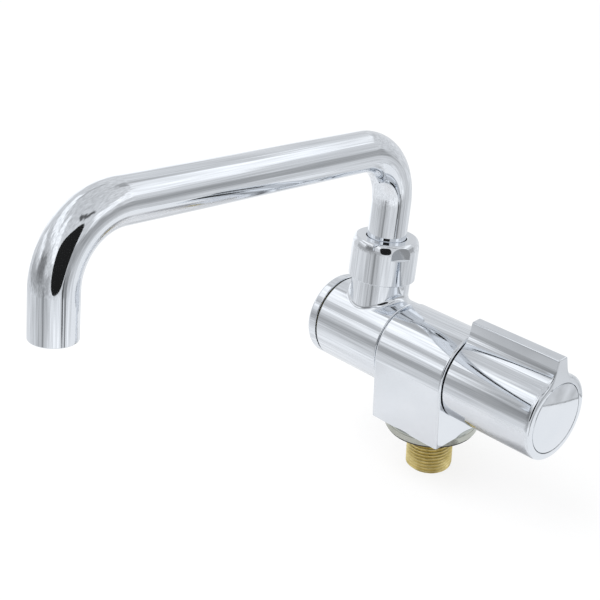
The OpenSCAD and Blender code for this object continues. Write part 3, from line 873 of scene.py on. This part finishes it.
def fin_outline():
    """Right half of the knob's section, from the fin's top down.

    Its points are (side, up, normal to the side, normal up, round of the rim there).
    """
    out = Vector((math.cos(fin_draft), math.sin(fin_draft)))
    up = Vector((-out.y, out.x))
    reach = out.dot(Vector((fin_half, fin_top)))
    rise = math.sqrt((knob_r + fin_fillet) ** 2 - (reach + fin_fillet) ** 2)
    centre = (reach + fin_fillet) * out + rise * up
    edge_up = fin_top - fin_edge
    edge = Vector(((reach - fin_edge - edge_up * out.y) / out.x, edge_up))
    points = [(edge.x * step / FIN_TOP_STEPS, fin_top, 0, 1, fin_rim) for step in range(FIN_TOP_STEPS)]
    for step in range(EDGE_STEPS + 1):
        turn = mix(math.pi / 2, fin_draft, step / EDGE_STEPS)
        way = Vector((math.cos(turn), math.sin(turn)))
        points.append((*(edge + fin_edge * way), *way, fin_rim))
    foot_turn = math.atan2(centre.x, centre.y)
    first, last = -out, -centre.normalized()
    for step in range(HOLLOW_STEPS + 1):
        share = step / HOLLOW_STEPS
        way = first.slerp(last, share)
        blend = share * share * (3 - 2 * share)
        points.append((*(centre + fin_fillet * way), *(-way), mix(fin_rim, knob_rim, blend)))
    for step in range(1, KNOB_STEPS + 1):
        turn = mix(foot_turn, math.pi, step / KNOB_STEPS)
        way = Vector((math.sin(turn), math.cos(turn)))
        points.append((*(knob_r * way), *way, knob_rim))
    return points


def knob_columns():
    """Columns round the knob as (place, normal, rim), turning the same way as a lathe's columns."""
    half = fin_outline()
    near = [(-side, up, -normal, lift, rim) for side, up, normal, lift, rim in half]
    loop = near + half[-2:0:-1]
    return [(Vector((-up, side, 0)), Vector((-lift, normal, 0)), rim) for side, up, normal, lift, rim in loop]


def knob_inside():
    """Outline (radius, x) of the end recess, the screw's hole, the stem's socket and the hollow."""
    return rounded([
        (knob_face_r, knob_end, 0),
        (recess_r, knob_end, fine_edge),
        (recess_r, disc_back, sharp_edge),
        (screw_well_r, disc_back, sharp_edge),
        (screw_well_r, screw_seat, sharp_edge),
        (screw_hole_r, screw_seat, sharp_edge),
        (screw_hole_r, socket_floor, sharp_edge),
        (socket_r, socket_floor, sharp_edge),
        (socket_r, boss_start, small_edge),
        (boss_r, boss_start, small_edge),
        (boss_r, hollow_floor, plain_edge),
        (hollow_r, hollow_floor, plain_edge),
        (hollow_r, knob_start, small_edge),
        (knob_mouth_r, knob_start, 0),
    ], closed=False)


def end_round(place, normal, radius, centre_x, turn, power=2):
    """Point and normal of the round at one end of the knob; a power over 2 makes it squarer."""
    side = signed_power(math.cos(turn), 2 / power)
    tip = signed_power(math.sin(turn), 2 / power)
    base = place - normal * radius + UP * centre_x
    way = normal * side ** (power - 1) + UP * signed_power(tip, power - 1)
    return base + (normal * side + UP * tip) * radius, way


def knob_column(shell, place, normal, rim):
    """One column of the knob: its skin, its end face and its inside."""
    column = []
    for step in range(EDGE_STEPS + 1):
        turn = mix(-math.pi / 2, 0, step / EDGE_STEPS)
        column.append(shell.add(*end_round(place, normal, knob_lip, knob_start + knob_lip, turn)))
    for step in range(RIM_STEPS + 1):
        turn = mix(0, math.pi / 2, step / RIM_STEPS)
        column.append(shell.add(*end_round(place, normal, rim, knob_end - rim, turn, rim_power)))
    spoke = place.normalized()
    rim_point = place - normal * rim
    for step in range(1, FACE_ROWS):
        flat = rim_point.lerp(spoke * knob_face_r, step / FACE_ROWS)
        column.append(shell.add(flat + UP * knob_end, UP))
    return column + [shell.turn(spoke, UP, point) for point in knob_inside()]


def make_knob():
    """The knob with its fin, column by column."""
    shell = Shell()
    columns = [knob_column(shell, *column) for column in knob_columns()]
    rows = [list(row) for row in zip(*columns)]
    return shell.made("knob_skin", skin(rows, True), on_barrel)


# The flange and the gasket under it

gasket_r = 16.2 * MM
gasket_bore_r = 8.63 * MM
gasket_top = 0.8 * MM
flange_r = 16.7 * MM
flange_top = 3.5 * MM
flange_bore_r = 7.95 * MM
flange_edge = 0.5 * MM


def flat_ring(name, radius, bore_r, low, high, top_edge):
    """A flat ring round the inlet."""
    return lathe(name, rounded([
        (radius, low, plain_edge),
        (radius, high, top_edge),
        (bore_r, high, small_edge),
        (bore_r, low, small_edge),
    ]), Matrix.Identity(4))


def make_flange():
    """The flange under the block."""
    return flat_ring("flange_skin", flange_r, flange_bore_r, gasket_top, flange_top, flange_edge)


def make_gasket():
    """The rubber gasket under the flange."""
    return flat_ring("gasket_skin", gasket_r, gasket_bore_r, 0, gasket_top, plain_edge)


dress(make_sleeve(), "chrome", "fold_arm", "chrome", "fold_sleeve")
dress(make_nut(), "chrome", "fold_arm", "chrome", "union_nut")
dress(make_tube(), "chrome", "spout", "chrome", "spout_tube")
dress(make_inlet(), "brass", "tap_body", "brass", "inlet_nipple")
dress(make_cap(), "chrome", "tap_body", "chrome", "end_cap")
dress(make_disc(), "chrome", "handle", "chrome", "knob_disc")
dress(make_knob(), "chrome", "handle", "chrome", "knob")
dress(make_flange(), "dull_chrome", "tap_body", "chrome", "base_flange")
dress(make_gasket(), "rubber", "tap_body", "rubber", "deck_gasket")


# Camera

camera_place = Vector((224.28, -276.61, 228.42)) * MM
camera_forward = Vector((-0.64763, 0.61333, -0.45210))
camera_right = Vector((0.68439, 0.72906, 0.00867))
camera_lens = 69.72
camera_shift = (-0.00447, -0.00198)
camera_sensor = 36
camera_clip = 0.01


def add_camera():
    """The camera at the photograph's viewing angle."""
    data = bpy.data.cameras.new("camera")
    data.lens = camera_lens
    data.sensor_width = camera_sensor
    data.shift_x, data.shift_y = camera_shift
    data.clip_start = camera_clip
    camera = bpy.data.objects.new("camera", data)
    camera.matrix_world = along(-camera_forward, camera_right, camera_place)
    bpy.context.scene.collection.objects.link(camera)
    bpy.context.scene.camera = camera


add_camera()


# Studio

floor_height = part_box("inlet_nipple")[0].z
studio_centre = Vector((-15, -60, 50)) * MM
studio_white = (0.965, 0.98, 1.0)
world_level = 0.75
tent_radius = 1.5
TENT_STEPS = 36

# The floor that the camera sees
floor_half = 3.0
floor_colour = (0.86, 0.86, 0.87)
floor_glow = 1.08
floor_glow_share = 0.75

# The floor that the metal shows, with a painted shadow under the knob: a darker spot in its colour
near_floor_place = Vector((5, -22, 0)) * MM
near_floor_r = 0.09
near_floor_solid = 0.03
near_floor_shade = 0.95
near_floor_lift = 0.1 * MM
near_floor_glow = 0.92
near_floor_shadow_colour = (0.50, 0.50, 0.51)
near_floor_light = (0.84, 0.84, 0.85)
NEAR_FLOOR_STEPS = 8
painted_shadow_place = Vector((34, -6, 0)) * MM
painted_shadow_r = 30 * MM

# The strip of board on the floor beyond the knob, glowing as painted light, with a dark strip of painted shadow
# along its far edge
board_from = Vector((51, 0, 0)) * MM
board_heading = 58
board_half = 60 * MM
board_reach = 88 * MM
painted_shadow_strip = 1.8 * MM
board_lift = 0.2 * MM
board_glow_level = 0.94
painted_shadow_strip_level = 0.35

# The dark card beside the camera
card_from = on_spout @ Vector((0, -spout_reach + bend_r / 3, spout_h - bend_r / 3))
card_heading = (-26, 11)
card_away = 220 * MM
card_half = (110 * MM, 122 * MM)
card_power = 3.6
card_level = 0.015
CARD_STEPS = 96

# The lamp
lamp_heading = (-130, 62)
lamp_away = 1.1
lamp_size = 0.9
lamp_energy = 6


def stage_material(name):
    """An empty material for a studio surface, and what is needed to add nodes to it."""
    material = bpy.data.materials.new(name)
    material.use_nodes = True
    tree = material.node_tree
    tree.nodes.clear()
    output = tree.nodes.new("ShaderNodeOutputMaterial")
    return material, tree, output


def emission(tree, colour, strength):
    """A plain glow."""
    node = tree.nodes.new("ShaderNodeEmission")
    node.inputs["Color"].default_value = (*colour, 1)
    node.inputs["Strength"].default_value = strength
    return node


def glow_material(name, colour, strength):
    """A studio material that glows evenly."""
    material, tree, output = stage_material(name)
    tree.links.new(emission(tree, colour, strength).outputs[0], output.inputs["Surface"])
    return material


def math_node(tree, operation, *values):
    """A math node whose inputs are outputs of other nodes, or numbers."""
    node = tree.nodes.new("ShaderNodeMath")
    node.operation = operation
    for value, socket in zip(values, node.inputs):
        feed(tree, value, socket)
    return node.outputs["Value"]


def mixed(tree, share, first, second):
    """A mix of two shaders."""
    node = tree.nodes.new("ShaderNodeMixShader")
    feed(tree, share, node.inputs[0])
    tree.links.new(first.outputs[0], node.inputs[1])
    tree.links.new(second.outputs[0], node.inputs[2])
    return node


def add_world():
    """White where it is seen, and plain soft light for the rest."""
    world = bpy.data.worlds.new("world")
    bpy.context.scene.world = world
    world.use_nodes = True
    tree = world.node_tree
    tree.nodes.clear()
    shown = tree.nodes.new("ShaderNodeBackground")
    light = tree.nodes.new("ShaderNodeBackground")
    for background in (shown, light):
        background.inputs["Color"].default_value = (1, 1, 1, 1)
    light.inputs["Strength"].default_value = world_level
    path = tree.nodes.new("ShaderNodeLightPath")
    seen = math_node(tree, "MAXIMUM", path.outputs["Is Camera Ray"], path.outputs["Is Glossy Ray"])
    seen = math_node(tree, "MAXIMUM", seen, path.outputs["Is Transmission Ray"])
    output = tree.nodes.new("ShaderNodeOutputWorld")
    tree.links.new(mixed(tree, seen, light, shown).outputs[0], output.inputs["Surface"])


def reflected_only(stage_object):
    """A studio surface that shows in polished metal and nowhere else."""
    for ray in ("camera", "diffuse", "transmission", "volume_scatter", "shadow"):
        setattr(stage_object, f"visible_{ray}", False)


def add_floor():
    """A pale floor that is white to the camera except for the shadow on it."""
    sides = ((-1, -1), (1, -1), (1, 1), (-1, 1))
    corners = [(x * floor_half, y * floor_half, floor_height) for x, y in sides]
    floor = new_mesh("floor", corners, [(0, 1, 2, 3)])
    material, tree, output = stage_material("floor")
    diffuse = tree.nodes.new("ShaderNodeBsdfDiffuse")
    diffuse.inputs["Color"].default_value = (*floor_colour, 1)
    glow = emission(tree, (1, 1, 1), floor_glow)
    path = tree.nodes.new("ShaderNodeLightPath")
    share = math_node(tree, "MULTIPLY", path.outputs["Is Camera Ray"], floor_glow_share)
    tree.links.new(mixed(tree, share, diffuse, glow).outputs[0], output.inputs["Surface"])
    floor.data.materials.append(material)
    floor.visible_glossy = False


def distance_from(tree, place):
    """Distance of the shaded point from a place."""
    node = tree.nodes.new("ShaderNodeVectorMath")
    node.operation = "DISTANCE"
    node.inputs[1].default_value = place
    tree.links.new(tree.nodes.new("ShaderNodeNewGeometry").outputs["Position"], node.inputs[0])
    return node.outputs["Value"]


def add_near_floor():
    """The floor round the object as its metal shows it, with a painted shadow under the knob and a little glow,
    fading out into the tent.
    """
    shares = [1 - step / NEAR_FLOOR_STEPS for step in range(NEAR_FLOOR_STEPS + 1)]
    outline = [(near_floor_r * share, 0, 0, 1) for share in shares]
    floor_lift = UP * (floor_height + near_floor_lift)
    place = Matrix.Translation(near_floor_place + floor_lift)
    near = lathe("near_floor", outline, place, closed=False)
    material, tree, output = stage_material("near_floor")
    diffuse = tree.nodes.new("ShaderNodeBsdfDiffuse")
    # Painted shadow: the floor's colour darkens towards the spot under the knob
    shade = spread(tree, distance_from(tree, painted_shadow_place + floor_lift), 0, 1, 0, painted_shadow_r)
    tree.links.new(tint(tree, shade, near_floor_shadow_colour, near_floor_light), diffuse.inputs["Color"])
    glow = emission(tree, studio_white, near_floor_glow)
    lit = mixed(tree, near_floor_shade, glow, diffuse)
    clear = tree.nodes.new("ShaderNodeBsdfTransparent")
    share = spread(tree, distance_from(tree, place.to_translation()), 0, 1, near_floor_solid, near_floor_r)
    tree.links.new(mixed(tree, share, lit, clear).outputs[0], output.inputs["Surface"])
    near.data.materials.append(material)
    reflected_only(near)


def heading(azimuth, elevation):
    """Unit vector of a direction given in degrees."""
    a, e = math.radians(azimuth), math.radians(elevation)
    return Vector((math.cos(e) * math.cos(a), math.cos(e) * math.sin(a), math.sin(e)))


class Panel(NamedTuple):
    """A panel of the tent, its angles in degrees.

    Lean moves its azimuth with height, and tilt its height with azimuth.
    """
    azimuth: float
    elevation: float
    half_width: float
    half_height: float
    soft: float
    level: float
    lean: float = 0
    tilt: float = 0


# Later panels lie over earlier ones
WALL = 0.72
PANELS = {
    "floor": Panel(0, -58, 190, 38, 32, 0.90),
    "ceiling": Panel(0, 84, 190, 24, 12, 0.66),
    "under_grey": Panel(105, -52, 32, 9, 14, 0.62),
    "right_floor": Panel(46, -33, 40, 9, 8, 0.80),
    "leg_floor": Panel(24, -31, 13, 8, 6, 0.95),
    "window": Panel(154, -5, 24, 19, 12, 1.12, lean=0.43),
    "back_wall": Panel(108, -6, 20, 18, 14, 0.80),
    "grey_low": Panel(-88, -14, 26, 9, 22, 0.54),
    "low_left": Panel(-130, -19, 16, 7, 10, 0.73),
    "grey_left": Panel(-108, -1, 48, 8, 9, 0.46),
    "grey_front": Panel(-103, 14, 17, 13, 16, 0.24),
    "left_gap": Panel(-126, 30, 20, 4, 6, 0.56),
    "left_strip": Panel(-140, 20.5, 18, 4.5, 5, 1.04),
    "high_softbox": Panel(-150, 47, 34, 8.5, 5, 1.12),
    "high_wing": Panel(-110, 47, 24, 5.5, 6, 1.10, tilt=-0.3),
    "high_grey": Panel(165, 55, 25, 3.5, 5, 0.52),
    "front_strip": Panel(-75, 42, 10, 24, 7, 1.10, lean=-0.9),
    "right_softbox": Panel(53, 30, 41, 8, 6, 1.10, tilt=0.3),
    "right_end": Panel(100, 33, 9, 3.5, 5, 1.05),
    "high_dark": Panel(94, 55, 13, 6, 9, 0.38),
    "grey_sill": Panel(34, -17, 34, 7, 3, 0.60),
    "pale_sill": Panel(58, -24, 14, 8, 3, 0.70),
    "grey_right": Panel(32, -4, 34, 9.5, 8, 0.41),
    "dark_post": Panel(-80, -15, 3, 12, 5, 0.30),
    "thin_post": Panel(-97, -15, 1.5, 12, 4, 0.36),
    "low_front": Panel(-36, -24, 22, 6, 7, 0.99),
    "flat_grey": Panel(10.5, -25.5, 4.5, 10.5, 4, 0.28),
    "dark_gap": Panel(1, -15, 7, 8, 6, 0.34),
    "dark_line": Panel(-2, -26, 2.0, 14, 2, 0.07),
    "dark_streak": Panel(-10, 50, 19, 4, 5, 0.12, tilt=-0.5),
}
edge_wander = 14
edge_grain = 5.5
rise_grain = 1.3 * edge_grain
streak_grain = 8
streak_reach = 0.20


def soft_edge(tree, distance, edge, soft):
    """One inside an edge, falling to nothing over its soft width."""
    return spread(tree, distance, 1, 0, edge - soft / 2, edge + soft / 2, "SMOOTHSTEP")


def panel_mask(tree, azimuth, elevation, panel):
    """One inside a panel, falling to nothing over its soft edge."""
    swing = math_node(tree, "SUBTRACT", azimuth, panel.azimuth)
    swing = math_node(tree, "WRAP", swing, 180.0, -180.0)
    rise = math_node(tree, "SUBTRACT", elevation, panel.elevation)
    across = math_node(tree, "ABSOLUTE", math_node(tree, "MULTIPLY_ADD", rise, -panel.lean, swing))
    up = math_node(tree, "ABSOLUTE", math_node(tree, "MULTIPLY_ADD", swing, -panel.tilt, rise))
    sides = soft_edge(tree, across, panel.half_width, panel.soft)
    ends = soft_edge(tree, up, panel.half_height, panel.soft)
    return math_node(tree, "MULTIPLY", sides, ends)


def wandering(tree, place, angle, grain):
    """An angle that wanders a little from place to place, so that no panel has a ruled edge."""
    drift = spread(tree, noise(tree, place, grain, detail=3), -edge_wander / 2, edge_wander / 2, 0, 1)
    return math_node(tree, "ADD", angle, drift)


def tent_level(tree):
    """Brightness of the tent by direction: its plain wall with the panels over it."""
    place = tree.nodes.new("ShaderNodeTexCoord").outputs["Object"]
    split = tree.nodes.new("ShaderNodeSeparateXYZ")
    tree.links.new(place, split.inputs[0])
    x, y, z = (split.outputs[axis] for axis in "XYZ")
    azimuth = math_node(tree, "DEGREES", math_node(tree, "ARCTAN2", y, x))
    squares = [math_node(tree, "POWER", side, 2.0) for side in (x, y)]
    level = math_node(tree, "SQRT", math_node(tree, "ADD", *squares))
    elevation = math_node(tree, "DEGREES", math_node(tree, "ARCTAN2", z, level))
    azimuth = wandering(tree, place, azimuth, edge_grain)
    elevation = wandering(tree, place, elevation, rise_grain)
    result = WALL
    for panel in PANELS.values():
        mask = panel_mask(tree, azimuth, elevation, panel)
        result = spread(tree, mask, result, panel.level, 0, 1)
    streaks = noise(tree, place, streak_grain, detail=4, stretch=(1, 1, 2))
    return math_node(tree, "MULTIPLY", result, spread(tree, streaks, 1 - streak_reach, 1 + streak_reach))


def add_black_card():
    """The dark place beside the camera, close enough to look smaller from further off."""
    away = heading(*card_heading)
    across = away.cross(UP).normalized()
    place = along(-away, across, card_from + away * card_away)
    width, height = card_half
    points = [place.to_translation()]
    for step in range(CARD_STEPS):
        turn = 2 * math.pi * step / CARD_STEPS
        x = signed_power(math.cos(turn), 2 / card_power)
        y = signed_power(math.sin(turn), 2 / card_power)
        points.append(place @ Vector((x * width, y * height, 0)))
    rim = list(range(1, CARD_STEPS + 1))
    card = new_mesh("black_card", points, skin([rim, [0]], False))
    card.data.materials.append(glow_material("black_card", (1, 1, 1), card_level))
    reflected_only(card)


def add_board(name, near, far, level):
    """A glowing strip on the floor beyond the knob, seen only in the metal: painted light for the board, painted
    shadow for its dark edge.
    """
    ahead = heading(board_heading, 0)
    across = Vector((-ahead.y, ahead.x, 0)) * board_half
    lift = UP * (floor_height + board_lift)
    start, end = (board_from + lift + ahead * reach for reach in (near, far))
    board = new_mesh(name, [start - across, end - across, end + across, start + across], [(0, 1, 2, 3)])
    board.data.materials.append(glow_material(name, studio_white, level))
    reflected_only(board)


def add_tent():
    """The tent round the object, seen only in its polished metal."""
    outline = []
    for step in range(TENT_STEPS + 1):
        angle = math.pi * step / TENT_STEPS
        radius, height = math.sin(angle), math.cos(angle)
        outline.append((tent_radius * radius, tent_radius * height, -radius, -height))
    tent = lathe("studio_tent", outline, Matrix.Identity(4), closed=False)
    tent.location = studio_centre
    material, tree, output = stage_material("studio_tent")
    glow = emission(tree, studio_white, 1.0)
    tree.links.new(tent_level(tree), glow.inputs["Strength"])
    tree.links.new(glow.outputs[0], output.inputs["Surface"])
    tent.data.materials.append(material)
    reflected_only(tent)


def add_lamp():
    """One large soft lamp above, for the shadow on the floor and for the matt pieces."""
    data = bpy.data.lights.new("softbox", "AREA")
    data.shape = "DISK"
    data.size = lamp_size
    data.energy = lamp_energy
    lamp = bpy.data.objects.new("softbox", data)
    away = heading(*lamp_heading)
    lamp.matrix_world = along(away, away.cross(UP).normalized(), away * lamp_away)
    lamp.visible_glossy = False
    bpy.context.scene.collection.objects.link(lamp)


add_world()
add_floor()
add_near_floor()
# Painted light: the board glows instead of being lit; painted shadow: the dark strip along its far edge
add_board("glowing_board", 0, board_reach, board_glow_level)
add_board("painted_shadow_strip", board_reach, board_reach + painted_shadow_strip, painted_shadow_strip_level)
add_tent()
add_black_card()
add_lamp()
bpy.context.scene.view_settings.view_transform = "Standard"
